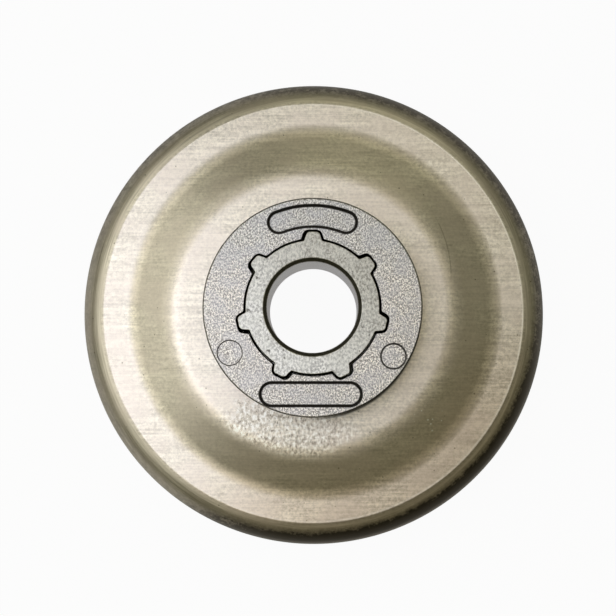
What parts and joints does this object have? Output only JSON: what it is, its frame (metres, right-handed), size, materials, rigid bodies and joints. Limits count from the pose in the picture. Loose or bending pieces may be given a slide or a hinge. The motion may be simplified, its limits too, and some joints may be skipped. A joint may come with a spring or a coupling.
{
  "type": "chainsaw clutch drum",
  "caption": "Drawn steel chainsaw clutch drum with a stepped web, a brazed splined hub with a bearing bore, and a loose rim sprocket on the splines.",
  "frame": {"origin": "centre of the open edge that the drum lies on", "axes": "+Z along the shaft axis, out of the sprocket side; +Y towards the spline tooth under the arched panel"},
  "size_m": [0.07, 0.07, 0.0326],
  "materials": {
    "drawn_steel": "satin, warm grey, with straight rolling grain",
    "hub_steel": "grainy turned face, matt grey",
    "sintered_steel": "grainy as-sintered grey"
  },
  "bodies": {
    "drum": {"drum_cup": "drawn_steel", "splined_hub": "hub_steel"},
    "rim": {"rim_sprocket": "sintered_steel"}
  },
  "joints": [
    {"name": "rim_float", "type": "slide", "parent": "drum", "child": "rim", "axis": [0, 0, 1], "range_m": [0, 0.0125]}
  ]
}
